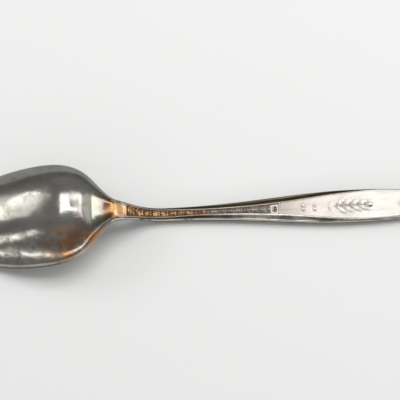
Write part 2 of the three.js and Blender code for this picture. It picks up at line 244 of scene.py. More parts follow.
DOME_SLOPE = (domed_crown(DOME_END_PLACE + 0.1) - domed_crown(DOME_END_PLACE - 0.1)) / 0.2
DOME_END = (DOME_END_PLACE, domed_crown(DOME_END_PLACE), DOME_SLOPE)
SADDLE = (SADDLE_PLACE, SADDLE_CROWN, SADDLE_SLOPE)
NECK_ENTRY = (NECK_START, NECK_CROWN, NECK_ENTRY_SLOPE)


def back_crown(s):
    """The crown along the middle of the bowl's back, with a saddle where it meets the neck."""
    if s <= DOME_END_PLACE:
        return domed_crown(s)
    if s <= SADDLE_PLACE:
        return cubic(s, DOME_END, SADDLE)
    return cubic(s, SADDLE, NECK_ENTRY)


def levelled(s):
    """Share by which the crown across the back is levelled towards the neck."""
    return float(ease((s - SADDLE_PLACE + LEVELLING) / LEVELLING))


def bevel_width(s):
    if s < BLADE_START:
        return mix(BEVEL_AT_NECK, BEVEL_AT_BLADE, ease((s - STEM_START) / STEM_LENGTH))
    return mix(BEVEL_AT_BLADE, BEVEL_AT_END, ease((s - BLADE_START) / BEVEL_FADE))


def field_half(s):
    """Half the width of the flat field that the two bevels leave."""
    return half_width(s) - min(bevel_width(s), 0.6 * half_width(s))


def bevel_rise(s):
    return BEVEL_RISE * min(1, half_width(s) / (STEM_WIDTH / 2))


def field_height(s):
    return edge_height(s) + bevel_rise(s)


def channel_half(s):
    """Half the channel's width, with its corners rounded at both ends."""
    inside = min(s - CHANNEL_START, CHANNEL_END - s)
    corner = max(0, CHANNEL_CORNER - max(0, inside))
    rounding = CHANNEL_CORNER - math.sqrt(CHANNEL_CORNER ** 2 - corner ** 2)
    return field_half(s) - RIDGE_LAND - rounding


def channel_depth(s):
    inside = min(s - CHANNEL_START, CHANNEL_END - s)
    return CHANNEL_DEPTH * float(ease(inside / 0.1))


def unevenness(s, y):
    """Faint waviness of metal that was spun, polished and used."""
    return 0.010 * (np.sin(0.83 * s + 0.61 * y) + np.sin(0.47 * s - 1.13 * y + 1.0)
                    + 0.6 * np.sin(1.57 * s + 0.35 * y + 2.0) + 0.6 * np.sin(0.21 * s + 1.71 * y))


# ------------------------------------------------------------------ meshes

def spoon_point(s, y, z):
    """A point in metres, from a distance to the tip, a place across and a height."""
    return ((TIP_X + s) * MM, y * MM, z * MM)


def solid(name, points, faces, sharp=40.0):
    """A mesh object with smooth shading that keeps edges over an angle crisp."""
    mesh = bpy.data.meshes.new(name)
    mesh.from_pydata([spoon_point(*p) for p in points], [], faces)
    mesh.validate()
    mesh.shade_smooth()
    mesh.set_sharp_from_angle(angle=math.radians(sharp))
    piece = bpy.data.objects.new(name, mesh)
    bpy.context.scene.collection.objects.link(piece)
    return piece


class Shells:
    """Gathers closed shells of points and faces into one piece."""

    def __init__(self):
        self.points = []
        self.faces = []

    def rings(self, rings):
        """Quads through equal closed rings of (s, y, z) points, with a cap at each end."""
        first, count = len(self.points), len(rings[0])
        self.points += [tuple(map(float, p)) for ring in rings for p in ring]
        for i in range(len(rings) - 1):
            a, b = first + i * count, first + (i + 1) * count
            for j in range(count):
                k = (j + 1) % count
                self.faces.append((a + j, a + k, b + k, b + j))
        last = first + (len(rings) - 1) * count
        self.faces.append(tuple(range(first + count - 1, first - 1, -1)))
        self.faces.append(tuple(range(last, last + count)))

    def loft(self, places, section):
        """Skin through sections, each an outline of (y, z) points at a place on the spoon."""
        rings = []
        for s in places:
            y, z = np.array(section(float(s))).T
            area = np.sum(y * np.roll(z, -1) - z * np.roll(y, -1))
            ring = list(zip(np.full(len(y), s), y, z))
            rings.append(ring if area > 0 else ring[::-1])
        self.rings(rings)

    def piece(self, name, sharp=40.0):
        return solid(name, self.points, self.faces, sharp)


def mark(piece, level):
    """Stores on each point its height over a level and its place between middle and outline.

    Beyond counts from 0 at the ridge beside the bevel to 1 at the outline.
    """
    points = np.array([v.co for v in piece.data.vertices]) / MM
    places = points[:, 0] - TIP_X
    raised = points[:, 2] - np.array([level(s) for s in places])
    outward = np.abs(points[:, 1]) / np.array([max(half_width(s), 0.3) for s in places])
    field = np.array([field_half(s) for s in places])
    bevel = np.array([max(half_width(s) - field_half(s), 0.1) for s in places])
    beyond = (np.abs(points[:, 1]) - field) / bevel
    for name, values in (("raised", raised), ("outward", outward), ("beyond", beyond)):
        piece.data.attributes.new(name, "FLOAT", "POINT").data.foreach_set("value", values)


def across(count):
    """Places from -1 to 1 that crowd together at both ends."""
    return -np.cos(np.linspace(0, math.pi, count))


def crowded(start, end, count):
    """Places that crowd together towards the start."""
    return mix(start, end, 1 - np.cos(np.linspace(0, math.pi / 2, count)))


def edge_fall(s, y, half, rounding):
    """How far the rounded edge falls below the back, at places across a section."""
    width, drop = rounding
    inset = (half - np.abs(y)) / math.hypot(1, outline_slope(s))
    q = clamp01(1 - inset / width)
    return drop * (1 - np.sqrt(1 - q * q))


def handle_back(s, y):
    """Height of the handle's back above its edge: a flat field between two bevels."""
    field = field_half(s)
    bevel = max(half_width(s) - field, 0.01)
    return bevel_rise(s) * (1 - BEVEL_FALL * ease((np.abs(y) - field) / bevel / BEVEL_SLOPING))


def belly(u):
    """Depth of the handle's front across its half width, as a share: flat, then rounded up."""
    return 1 - clamp01((u - FRONT_LAND) / (1 - FRONT_LAND)) ** 2


# ------------------------------------------------------------------ bowl and neck

def bowl_section(s):
    half = max(half_width(s), 0.4)
    y = half * across(89)
    fall = edge_fall(s, y, half, RIM_ROUND)
    back = rim_height(s) + BOWL_WALL + back_crown(s) * crown(y / half, levelled(s)) - fall
    back += unevenness(s, y) * clamp01((half - np.abs(y)) / 2)
    inner = max(egg_half(s, RIM_LAND), 0.2)
    y_in = inner * across(57)[::-1]
    hollow = rim_height(s) + dome_height(s, RIM_LAND) * crown(y_in / inner)
    rim = rim_height(s)
    outline = list(zip(y, back))
    outline += [(half, rim + 0.12), (half - 0.1, rim)]
    outline += list(zip(y_in, hollow))
    outline += [(-half + 0.1, rim), (-half, rim + 0.12)]
    return outline


def build_bowl():
    bowl = Shells()
    bowl_end = box_mm("bowl")[1][0] - TIP_X
    tip = crowded(0, BOWL_WIDEST, 72)
    heel = np.linspace(BOWL_WIDEST, bowl_end, 72)[1:]
    bowl.loft(np.concatenate([tip, heel]), bowl_section)
    return bowl.piece("bowl_fine")


def neck_section(s):
    t = (s - NECK_START) / NECK_LENGTH
    half = half_width(s)
    y = half * across(61)
    rounding = [mix(a, b, t) for a, b in zip(RIM_ROUND, EDGE_ROUND)]
    rise = mix(NECK_CROWN * crown(y / half, 1), handle_back(s, y), ease(t))
    back = edge_height(s) + rise - edge_fall(s, y, half, rounding)
    under = edge_height(s) - mix(BOWL_WALL, HANDLE_EDGE, t)
    front = half * across(21)[::-1]
    front_z = under - FRONT_CROWN * ease(t) * belly(np.abs(front) / half)
    return list(zip(y, back)) + list(zip(front, front_z))


def build_neck():
    neck = Shells()
    neck.loft(np.linspace(NECK_START, box_mm("neck")[1][0] - TIP_X, 36), neck_section)
    return neck.piece("neck_fine")


# ------------------------------------------------------------------ stem and blade

def handle_section(s, middle):
    """Section of the handle. Middle gives (y, z) points of the right half of its field."""
    half = max(half_width(s), 0.5)
    field = min(field_half(s), half - 0.05)
    turn = np.linspace(0, math.pi * 0.62, 20)
    y = mix(half, field, (1 - np.cos(turn)) / (1 - math.cos(math.pi * 0.62)))
    z = edge_height(s) + handle_back(s, y) - edge_fall(s, y, half, EDGE_ROUND)
    back = list(zip(y, z)) + middle(s, field)
    under = edge_height(s) - HANDLE_EDGE
    front = half * np.sin(np.linspace(0, math.pi / 2, 12))
    depth = FRONT_CROWN * min(1, half / (STEM_WIDTH / 2))
    bottom = list(zip(front, under - depth * belly(front / half)))
    right = bottom + back
    left = [(-y, z) for y, z in reversed(right) if y > 1e-6]
    return right + left


def channel_profile(s, field):
    """Ridge, rounded lip, wall and floor of the channel, from the bevel to the middle."""
    half, depth, top = channel_half(s), channel_depth(s), field_height(s)
    lip = min(0.1, depth / 2)
    steps = [(mix(field, half + 0.07, 0.5), 0), (half + 0.07, 0), (half + 0.03, lip * 0.25),
             (half, lip), (half - 0.04, depth - lip), (half - 0.1, depth)]
    steps += [((half - 0.1) * share, depth) for share in (0.75, 0.5, 0.25, 0)]
    return [(y, top - z) for y, z in steps]


def blade_field(s, field):
    """Flat field of the blade, very slightly sunk along its middle."""
    top, sunk = field_height(s), 0.02
    return [(field * share, top - sunk * (1 - share ** 2)) for share in (0.85, 0.68, 0.5, 0.33, 0.16, 0)]


def near(place, toward):
    """Places that crowd together just beside an end of the channel."""
    steps = np.array([0, 0.02, 0.05, 0.08, 0.11, 0.16, 0.22, 0.3, 0.38, 0.46, 0.6])
    return place + toward * steps


def build_stem():
    stem = Shells()
    end = box_mm("stem")[1][0] - TIP_X
    body = np.linspace(CHANNEL_START + 0.8, CHANNEL_END - 0.8, 120)
    places = np.concatenate([np.linspace(STEM_START, CHANNEL_START, 5)[:-1], near(CHANNEL_START, 1),
                             body, near(CHANNEL_END, -1)[::-1], [mix(CHANNEL_END, end, 0.5), end]])
    stem.loft(places, lambda s: handle_section(s, channel_profile))
    return stem.piece("stem_fine", 50)


def build_blade():
    blade = Shells()
    rounded = crowded(SPOON_LENGTH, WIDEST, 70)[::-1]
    places = np.concatenate([np.linspace(BLADE_START, WIDEST, 50)[:-1], rounded])
    blade.loft(places, lambda s: handle_section(s, blade_field))
    return blade.piece("blade_fine", 50)


# ------------------------------------------------------------------ border wires

def build_border(name, side):
    """Half-round wire along the ridge beside the bevel. It tapers away on the blade."""
    low, high = box_mm("border_wire_left")
    start, end = low[0] - TIP_X, high[0] - TIP_X
    angles = np.linspace(0, math.pi, 13)

    def section(s):
        taper = float(ease((end - s) / WIRE_TAPER)) * 0.75 + 0.25
        half, height = WIRE_HALF * taper, WIRE_HEIGHT * taper
        middle = side * (field_half(s) - RIDGE_LAND / 2)
        foot = field_height(s) + 0.01
        return list(zip(middle + half * np.cos(angles), foot + height * np.sin(angles)))

    wire = Shells()
    wire.loft(np.linspace(start, end, 140), section)
    return wire.piece(name, 60)


# ------------------------------------------------------------------ ornament

def band_relief(s, y, half, start, pitch):
    """Height of the ornament above the band's ground, from 0 to 1."""
    index = math.floor((s - start) / pitch)
    place = (s - start) / pitch - index
    v = np.abs(y) / half
    lean = place - 0.42 + 0.05 * math.sin(1.9 * index) * np.sign(y)
    bead = 1 - (lean / 0.3) ** 2 - (v / (0.86 + 0.08 * math.sin(2.3 * index))) ** 2
    groove = 0.4 * np.exp(-((v - 0.45) / 0.12) ** 2) + 0.3 * np.exp(-(lean / 0.06) ** 2)
    knot = 1 - ((place - 0.86) / 0.13) ** 2 - ((v - 0.35) / 0.42) ** 2
    round_part = np.sqrt(np.maximum(bead, 0)) * (1 - groove) + 0.8 * np.sqrt(np.maximum(knot, 0))
    square = 1 - np.abs((place - 0.5) / 0.42) ** 4 - (v / 0.88) ** 4
    notch = 0.45 * np.exp(-((v - 0.32) / 0.1) ** 2) + 0.35 * np.exp(-((place - 0.5) / 0.07) ** 2)
    tablet = np.sqrt(np.maximum(square, 0)) * (1 - notch)
    relief = round_part if index < ROUND_BEADS else tablet * 0.95
    rail = 0.55 * np.exp(-((v - 0.97) / 0.05) ** 2)
    return np.maximum(relief, rail)


def build_band():
    low, high = box_mm("ornament_band")
    start, end = low[0] - TIP_X, high[0] - TIP_X
    pitch = (end - start) / (BAND_BEADS + 0.5)
    rows = np.linspace(-1, 1, 35)

    def section(s):
        half = field_half(s) - RIDGE_LAND - WIRE_HALF
        floor = field_height(s) - CHANNEL_DEPTH + 0.02  # just clear of the channel's floor
        y = half * rows
        shape = band_relief(s, y, half, start, pitch)
        top = floor + BAND_GROUND + BAND_RELIEF * shape * ease(min(s - start, end - s) / 0.15)
        return [(half, floor), (-half, floor)] + list(zip(y, top))

    band = Shells()
    band.loft(np.linspace(start, end, 620), section)
    return band.piece("ornament_band_fine", 60)


def tube(shells, path, widths, heights, level):
    """Half-round tapering tube along a flat path of (s, y) points, flat side down."""
    path = np.array(path)
    ahead = np.gradient(path, axis=0)
    ahead /= np.linalg.norm(ahead, axis=1)[:, None]
    side = np.stack([-ahead[:, 1], ahead[:, 0]], axis=1)
    angles = np.linspace(0, math.pi, 11)
    rings = []
    for point, out, width, height in zip(path, side, widths, heights):
        rings.append([(*(point + out * width / 2 * math.cos(a)), level + height * math.sin(a))
                      for a in angles])
    shells.rings(rings)


def dome(shells, middle, length, width, height, level, turn=0.0, petals=0):
    """Rounded mound on a flat foot. Petals cut that many grooves round it."""
    rings = []
    for rise in np.sin(np.linspace(0, math.pi / 2 * 0.97, 9)):
        reach = math.sqrt(1 - rise ** 2)
        ring = []
        for a in np.linspace(0, 2 * math.pi, 48, endpoint=False):
            groove = 1 - 0.16 * abs(math.cos(petals / 2 * a)) ** 6 if petals else 1
            x, y = length / 2 * reach * groove * math.cos(a), width / 2 * reach * groove * math.sin(a)
            s = middle[0] + x * math.cos(turn) - y * math.sin(turn)
            ring.append((s, middle[1] + x * math.sin(turn) + y * math.cos(turn), level + height * rise))
        rings.append(ring)
    shells.rings(rings)


def leaf(shells, middle, length, width, height, level, turn=0.0):
    """Pointed leaf with a midrib groove and side veins. Its point lies along the turn."""
    columns = np.linspace(-1, 1, 25)
    rings = []
    for u in across(41) * 0.995:
        half = width / 2 * (1 - abs(u) ** 1.9) ** 0.8 * (1 - 0.22 * u)
        x = length / 2 * u
        swell = (1 - u ** 2) ** 0.4
        v = columns
        body = np.sqrt(np.maximum(0, 1 - np.abs(v) ** 4)) * swell
        rib = 0.34 * np.exp(-(v * half / 0.09) ** 2)
        ripple = np.cos(11 * (u - 0.55 * np.abs(v)))
        veins = 0.13 * ripple * (1 - np.abs(v)) * np.minimum(1, 3 * np.abs(v))
        z = level + height * np.maximum(0.02, body * (1 - rib - veins) * 0.93)
        outline = [(x, half * a, b) for a, b in zip(v, z)] + [(x, half, level), (x, -half, level)]
        ring = []
        for px, py, pz in outline:
            s = middle[0] + px * math.cos(turn) - py * math.sin(turn)
            ring.append((s, middle[1] + px * math.sin(turn) + py * math.cos(turn), pz))
        rings.append(ring[::-1])
    shells.rings(rings)


def build_scroll():
    low, high = box_mm("scroll")
    middle = ((low[0] + high[0]) / 2 - TIP_X + 0.1, 0.0)
    radius = high[1] - 0.17
    level = low[2] - SUNK
    turns = np.linspace(0.75, 2 * math.pi - 0.75, 60)
    curl = [(middle[0] + radius * math.cos(a), radius * math.sin(a)) for a in turns]
    ends = [0.22 * radius * abs(1 - 2 * i / 59) ** 3 for i in range(60)]
    curl = [(s - d, y * (1 - 0.5 * d)) for (s, y), d in zip(curl, ends)]
    body = [0.2 + 0.2 * math.sin(math.pi * i / 59) for i in range(60)]
    scroll = Shells()
    tube(scroll, curl, body, [0.3 + 0.3 * w for w in body], level)
    dome(scroll, middle, 1.3 * radius, 1.3 * radius, 0.16, level)
    dome(scroll, middle, 0.7 * radius, 0.7 * radius, 0.5, level, petals=5)
    return scroll.piece("scroll_fine", 60)


def build_leaf(node):
    low, high = box_mm(node)
    (length, width, height), middle = high - low, (low + high) / 2
    shells = Shells()
    leaf(shells, (middle[0] - TIP_X, 0), length, width, height, low[2] - SUNK)
    return shells.piece(node + "_fine", 60)


def build_leaf_pair(node):
    """Two small leaves side by side that point outwards from a bead between them."""
    low, high = box_mm(node)
    (length, width, height), middle = high - low, (low + high) / 2
    level = low[2] - SUNK
    shells = Shells()
    place = middle[0] - TIP_X
    for side in (-1, 1):
        leaf(shells, (place, side * width * 0.27), width * 0.52, length * 0.62, height, level,
             side * math.pi / 2)
    dome(shells, (place, 0), length * 0.42, length * 0.42, height, level, petals=6)
    return shells.piece(node + "_fine", 60)


def build_crescent():
    low, high = box_mm("crescent")
    radius, sweep = 2.15, 0.75
    centre = low[0] - TIP_X + 2.4
    angles = np.linspace(math.pi - sweep, math.pi + sweep, 40)
    path = [(centre + radius * math.cos(a), radius * math.sin(a)) for a in angles]
    body = [0.12 + 0.36 * math.sin(math.pi * i / 39) for i in range(40)]
    crescent = Shells()
    tube(crescent, path, body, [0.06 + 0.3 * w for w in body], low[2] - SUNK)
    return crescent.piece("crescent_fine", 60)


def build_spray():
    """A stalk with pairs of leaves and a bud at its head."""
    low, high = box_mm("spray")
    start, end, reach = low[0] - TIP_X, high[0] - TIP_X, high[1]
    length, level = end - start, low[2] - SUNK
    spray = Shells()
    stalk = np.linspace(start, end - 1.2, 50)
    widths = [mix(0.5, 0.3, i / 49) for i in range(50)]
    sway = [(s, 0.1 * math.sin(1.1 * (s - start))) for s in stalk]
    tube(spray, sway, widths, [0.22] * 50, level)
    for i in range(SPRAY_PAIRS):
        along = i / (SPRAY_PAIRS - 1)
        turn = mix(0.85, 0.6, along)
        tip_out = mix(1, 0.7, along) * (reach - 0.15)
        leaf_length = tip_out / math.sin(turn)
        ahead = leaf_length / 2 * math.cos(turn)
        root = start + mix(0.1, 0.66, along) * length
        for side in (-1, 1):
            middle = (root + ahead, side * tip_out / 2)
            leaf(spray, middle, leaf_length, 1.3, 0.16, level, side * turn)
            inner = (root + 0.9 + ahead, side * tip_out * 0.22)
            leaf(spray, inner, leaf_length * 0.5, 0.6, 0.13, level, side * turn * 0.7)
            berry = (root - 0.35, side * 0.62)
            dome(spray, berry, 0.5, 0.5, 0.22, level)
    bud = (end - 0.95, 0)
    dome(spray, bud, 1.8, 1.7, 0.24, level, petals=6)
    dome(spray, bud, 0.6, 0.6, 0.29, level)
    return spray.piece("spray_fine", 60)


# ------------------------------------------------------------------ finishes

class Level:
    """A number or colour that a node gives out. Arithmetic on it adds Math nodes."""

    def __init__(self, tree, socket):
        self.tree = tree
        self.socket = socket

    def math(self, operation, *others):
        values = dict(enumerate((self, *others)))
        return self.tree.node("ShaderNodeMath", {"operation": operation}, values)

    def swapped(self, operation, other):
        return self.tree.node("ShaderNodeMath", {"operation": operation}, {0: other, 1: self})

    def __add__(self, other):
        return self.math("ADD", other)

    def __radd__(self, other):
        return self.swapped("ADD", other)

    def __sub__(self, other):
        return self.math("SUBTRACT", other)

    def __rsub__(self, other):
        return self.swapped("SUBTRACT", other)

    def __mul__(self, other):
        return self.math("MULTIPLY", other)

    def __rmul__(self, other):
        return self.swapped("MULTIPLY", other)

    def __truediv__(self, other):
        return self.math("DIVIDE", other)

    def __rtruediv__(self, other):
        return self.swapped("DIVIDE", other)

    def __pow__(self, other):
        return self.math("POWER", other)

    def most(self, other):
        return self.math("MAXIMUM", other)

    def size(self):
        return self.math("ABSOLUTE")

    def fade(self, low, high):
        """0 below low and 1 above high, with a smooth step between. Low may be above high."""
        return self.tree.node("ShaderNodeMapRange", {"interpolation_type": "SMOOTHSTEP"},
                              {"Value": self, "From Min": low, "From Max": high})


class Nodes:
    """Adds nodes to one node tree."""

    def __init__(self, tree):
        self.tree = tree

    def node(self, kind, settings=None, values=None, out=0):
        """A node of that kind, with its settings set first and then its values or links."""
        node = self.tree.nodes.new(kind)
        for key, value in (settings or {}).items():
            if key == "stops":
                self.stops(node.color_ramp, value)
            else:
                setattr(node, key, value)
        for key, value in (values or {}).items():
            self.feed(node.inputs[key], value)
        return Level(self, node.outputs[out])

    def stops(self, ramp, stops):
        while len(ramp.elements) < len(stops):
            ramp.elements.new(0.5)
        for element, (position, color) in zip(ramp.elements, stops):
            element.position = position
            element.color = (*color, 1)

    def feed(self, socket, value):
        if isinstance(value, Level):
            self.tree.links.new(value.socket, socket)
        elif isinstance(value, tuple) and len(value) == 3 and socket.type == "RGBA":
            socket.default_value = (*value, 1)
        else:
            socket.default_value = value

    def axes(self, vector):
        parts = self.node("ShaderNodeSeparateXYZ", None, {0: vector}).socket.node
        return [Level(self, output) for output in parts.outputs]


class Finish(Nodes):
    """Builds one material out of nodes.

    Along is the distance from the tip of the bowl and across the distance from the middle line,
    both in millimetres.
    """

    def __init__(self, name):
        self.material = bpy.data.materials.new(name)
        self.material.use_nodes = True
        super().__init__(self.material.node_tree)
        self.shader = self.tree.nodes["Principled BSDF"]
        self.place = self.node("ShaderNodeTexCoord", out="Object")
        x, y, _ = self.axes(self.place)
        self.along = (x - TIP_X * MM) / MM
        self.across = y / MM

    def mark(self, name):
        """A measure that mark() stored on the piece."""
        return self.node("ShaderNodeAttribute", {"attribute_name": name}, None, "Fac")

    def noise(self, scale, detail=3.0, roughness=0.55, stretch=None, distortion=0.0):
        """Noise with a scale in patches per metre."""
        place = self.place
        if stretch:
            place = self.node("ShaderNodeMapping", None, {"Vector": place, "Scale": stretch[0],
                                                          "Rotation": stretch[1]})
        return self.node("ShaderNodeTexNoise", None, {
            "Vector": place, "Scale": scale, "Detail": detail, "Roughness": roughness,
            "Distortion": distortion})

    def spots(self, scale):
        """Distance to the nearest of many scattered points."""
        return self.node("ShaderNodeTexVoronoi", None, {
            "Vector": self.place, "Scale": scale, "Randomness": 1.0}, "Distance")

    def blend(self, share, a, b):
        return self.node("ShaderNodeMix", {"data_type": "RGBA"}, {"Factor": share, 6: a, 7: b}, 2)

    def scratches(self):
        """Fine scratches in three directions, as a height from 0 to 1."""
        total = None
        for turn, scale in ((0.12, 90), (-0.5, 70), (1.15, 80)):
            lines = self.noise(scale, 2, 0.5, ((1.0, 26.0, 26.0), (0, 0, turn))).fade(0.62, 0.72)
            total = lines if total is None else total + lines
        return total

    def bump(self, height, strength, distance):
        return self.node("ShaderNodeBump", None, {"Height": height, "Strength": strength,
                                                  "Distance": distance * MM})

    def finish(self, color, roughness, normal):
        self.feed(self.shader.inputs["Metallic"], 1.0)
        self.feed(self.shader.inputs["Base Color"], color)
        self.feed(self.shader.inputs["Roughness"], roughness)
        self.feed(self.shader.inputs["Normal"], normal)
        return self.material


# Plated surface, from a lighter silver that paints a sheen to tarnished, and a dark one that paints
# shade.
NEAR_SHEEN_SILVER = (0.42, 0.40, 0.36)
SILVER = (0.24, 0.235, 0.22)
DULL_SILVER = (0.19, 0.185, 0.16)
TARNISH = (0.125, 0.112, 0.085)
RIM_PAINTED_SHADE = (0.09, 0.082, 0.06)
SOOT = (0.02, 0.016, 0.013)

# Base metal that shows where the plating has worn away. The sheen colours are lighter, a painted sheen
# on the neck.
GOLD = (0.18, 0.112, 0.052)
COPPER = (0.15, 0.075, 0.034)
SHEEN_GOLD = (0.55, 0.36, 0.18)
SHEEN_COPPER = (0.42, 0.23, 0.10)
RUST = (0.40, 0.19, 0.075)
OLD_GOLD = (0.44, 0.29, 0.15)
OLD_COPPER = (0.28, 0.145, 0.07)

# Brown film on the stem and in the recesses. Olive and umber also paint shade on the far bevels, edges
# and undersides.
FAWN = (0.15, 0.115, 0.085)
BROWN = (0.085, 0.052, 0.032)
UMBER_FILM_AND_SHADE = (0.05, 0.032, 0.02)
OLIVE_FILM_AND_SHADE = (0.055, 0.05, 0.03)
DULL_GROUND = (0.12, 0.10, 0.085)

# Bright plate, and the faint colours of the film on it.
BRIGHT = (0.205, 0.195, 0.18)
PALE = (0.24, 0.232, 0.215)
POLISHED = (0.44, 0.40, 0.37)
OLD_SILVER = (0.22, 0.205, 0.185)
GREY_ROSE = (0.13, 0.113, 0.10)
GREENISH = (0.185, 0.19, 0.155)
FADED_ROSE = (0.165, 0.12, 0.11)
OLD_PINK = (0.17, 0.14, 0.125)
ROSE = (0.215, 0.155, 0.15)
STRAW = (0.22, 0.185, 0.12)
SKY = (0.15, 0.185, 0.195)

# Edges rubbed bright by use. On the near edges and bevel these also paint highlights and sheen.
EDGE_WEAR_AND_HIGHLIGHT = (0.62, 0.57, 0.50)
BEVEL_WEAR_AND_SHEEN = (0.50, 0.47, 0.42)


def heel_tint(f, color, film):
    """Where bowl and neck meet, the plating has worn through to a gold tone in a wedge. The gold is
    lighter on the neck as a painted sheen, and the far edge gets a painted shade.
    """
    place = f.along + (film - 0.5) * 4
    wedge = (3.7 - (f.along - 50) * 0.42 + (film - 0.5) * 2 - f.across.size()).fade(-0.4, 0.5)
    gold = place.fade(48.8, 50.6) * wedge
    middle = 1 - f.mark("outward").fade(0.5, 0.8)
    streaks = f.noise(300, 4, 0.6, ((0.35, 1, 1), (0, 0, 0)))
    # Painted sheen: the worn gold is made lighter on the neck, standing in for reflected light.
    neck_sheen = f.along.fade(51, 52.5)
    light, dark = f.blend(neck_sheen, GOLD, SHEEN_GOLD), f.blend(neck_sheen, COPPER, SHEEN_COPPER)
    color = f.blend(place.fade(43.5, 46) * middle, color, GREENISH)
    color = f.blend(place.fade(46.8, 48.8) * middle * streaks.fade(0.35, 0.55) * 0.9, color, FADED_ROSE)
    color = f.blend(gold * 0.95, color, f.blend(streaks.fade(0.42, 0.6), light, dark))
    # Painted shade along the far edge of the neck.
    far_edge_shade = f.along.fade(49, 51) * f.mark("outward").fade(0.82, 0.94) * f.across.fade(-0.3, 0.3)
    return f.blend(far_edge_shade, color, UMBER_FILM_AND_SHADE)


def bowl_finish():
    """Tarnished silver with painted sheen and rust on the near flank, hazy near the heel, with fine
    pits, painted shade on the rim wall and a rubbed rim with painted highlight.
    """
    f = Finish("tarnished_silver")
    clouds = f.noise(95, 4, 0.6)
    fine = f.noise(900, 3, 0.6)
    film = f.noise(160, 5, 0.62, distortion=0.4)
    color = f.blend(clouds.fade(0.35, 0.7), SILVER, DULL_SILVER)
    color = f.blend(film.fade(0.48, 0.7) * 0.6, color, TARNISH)
    flank = f.across.fade(-4, -8)
    # Painted sheen: the near flank is made lighter, standing in for reflected light.
    color = f.blend(flank * film.fade(0.7, 0.4), color, NEAR_SHEEN_SILVER)
    lower = flank * f.along.fade(29, 38)
    rust = lower * f.noise(210, 4, 0.6).fade(0.34, 0.56)
    color = f.blend(rust * 0.85, color, RUST)
    hazy = f.along.fade(34, 40) * f.across.fade(8, 2) * f.noise(130, 3).fade(0.45, 0.65)
    color = f.blend(hazy * 0.45, color, ROSE)
    color = heel_tint(f, color, film)
    outward = f.mark("outward")
    # Rubbed rim at the heel, partly a painted highlight along the rim's edge.
    rim_wear_and_highlight = outward.fade(0.955, 0.99) * f.noise(420, 3).fade(0.35, 0.6) * f.along.fade(36, 41)
    color = f.blend(rim_wear_and_highlight * 0.5, color, EDGE_WEAR_AND_HIGHLIGHT)
    # Painted shade: the rim's wall towards the tip is darkened, standing in for the shadowed table it
    # reflects.
    rim_wall_shade = outward.fade(0.96, 0.985) * f.mark("raised").fade(1.25, 0.95) * f.along.fade(42, 34)
    color = f.blend(rim_wall_shade, color, RIM_PAINTED_SHADE)
    pits = f.spots(1500).fade(0.12, 0.05) * f.noise(240).fade(0.5, 0.62)
    color = f.blend(pits, color, SOOT)
    scratches = f.scratches()
    rough = 0.10 + clouds * 0.07 + film.fade(0.45, 0.7) * 0.10 + scratches * 0.05 + pits * 0.3
    height = fine * 0.25 + film * 0.4 - scratches * 0.5 - pits * 0.8
    return f.finish(color, rough, f.bump(height, 0.3, 0.02))


def neck_finish():
    """The gold wedge, between a painted highlight along the near edge and painted shade along the far
    edge and underside.
    """
    f = Finish("worn_to_copper")
    film = f.noise(160, 5, 0.62, distortion=0.4)
    fine = f.noise(1500, 3, 0.6)
    plating = f.blend(film.fade(0.4, 0.6), DULL_SILVER, TARNISH)
    plating = f.blend(f.noise(500, 3).fade(0.58, 0.72) * 0.5, plating, BROWN)
    color = heel_tint(f, plating, film)
    # Painted highlight along the near edge.
    near_edge_highlight = f.mark("outward").fade(0.84, 0.95) * f.across.fade(0, -1)
    color = f.blend(near_edge_highlight, color, EDGE_WEAR_AND_HIGHLIGHT)
    # Painted shade on the underside below the edge.
    color = f.blend(f.mark("raised").fade(-0.3, -0.6), color, UMBER_FILM_AND_SHADE)
    scratches = f.scratches()
    rough = 0.20 + film * 0.14 + scratches * 0.05
    return f.finish(color, rough, f.bump(fine * 0.4 - scratches * 0.5, 0.3, 0.02))


def handle_edges(f, color):
    """Painted shade on the far bevel and under the edge; the near bevel gets wear with painted sheen,
    and a painted highlight along its ridge and edge.
    """
    beyond, patches = f.mark("beyond"), f.noise(420, 4, 0.6, ((0.4, 1, 1), (0, 0, 0)))
    far = f.across.fade(-0.3, 0.3)
    # Painted shade on the far bevel.
    dark = beyond.fade(-0.04, 0.12) * far
    color = f.blend(dark, color, f.blend(patches.fade(0.4, 0.6), OLIVE_FILM_AND_SHADE, UMBER_FILM_AND_SHADE))
    # The near bevel is dark near the neck and lighter towards the blade: rubbed patches with painted
    # sheen.
    near = (1 - far) * beyond.fade(-0.05, 0.1)
    near_bevel_wear_and_sheen = f.blend(patches.fade(0.38, 0.6), BEVEL_WEAR_AND_SHEEN, DULL_SILVER)
    color = f.blend(near, color, f.blend(f.along.fade(76, 96), OLIVE_FILM_AND_SHADE, near_bevel_wear_and_sheen))
    # Painted highlight along the near edge and ridge, widening towards the blade.
    wider = f.along.fade(70, 92)
    edge = beyond.fade(0.45 + wider * 0.37, 0.65 + wider * 0.30)
    ridge = (beyond - 0.02).size().fade(0.12, 0.05) * f.along.fade(76, 92)
    lines = edge.most(ridge) * f.noise(260, 3).fade(0.25, 0.5)
    color = f.blend(lines * (1 - far), color, EDGE_WEAR_AND_HIGHLIGHT)
    # Painted shade under the outer edge.
    return f.blend(f.mark("raised").fade(-0.85, -1.1) * beyond.fade(0.7, 0.9), color, UMBER_FILM_AND_SHADE)


